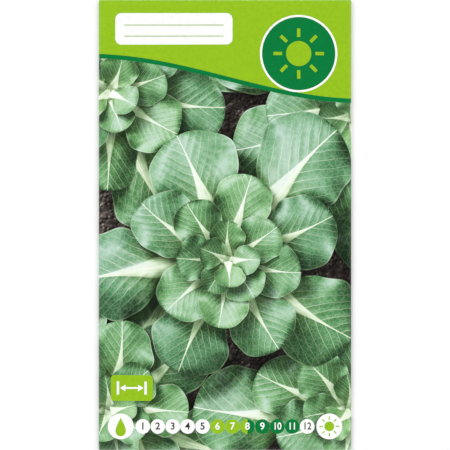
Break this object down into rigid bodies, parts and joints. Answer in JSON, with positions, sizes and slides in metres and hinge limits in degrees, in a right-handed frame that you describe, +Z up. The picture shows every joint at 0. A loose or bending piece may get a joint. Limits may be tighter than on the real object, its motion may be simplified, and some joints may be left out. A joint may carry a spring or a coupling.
{
  "type": "seed packet",
  "caption": "Flat rectangular paper packet, folded and glued shut, that holds loose vegetable seeds in a sealed inner sachet.",
  "frame": {"origin": "middle of the packet's footprint, on the surface it lies on", "axes": "+Z up out of the printed front, +Y towards the packet's top edge, +X to its right as its front is seen"},
  "size_m": [0.084, 0.15, 0.0038],
  "materials": {
    "printed_paper": "satin",
    "dried_glue": "matte",
    "sachet_film": "gloss",
    "seeds": "matte"
  },
  "bodies": {
    "root": {"envelope_sheet": "printed_paper", "seam_glue": "dried_glue", "bottom_lip_glue": "dried_glue", "top_lip_glue": "dried_glue", "sachet_back_film": "sachet_film", "sachet_front_film": "sachet_film", "seed_fill": "seeds"}
  },
  "joints": []
}
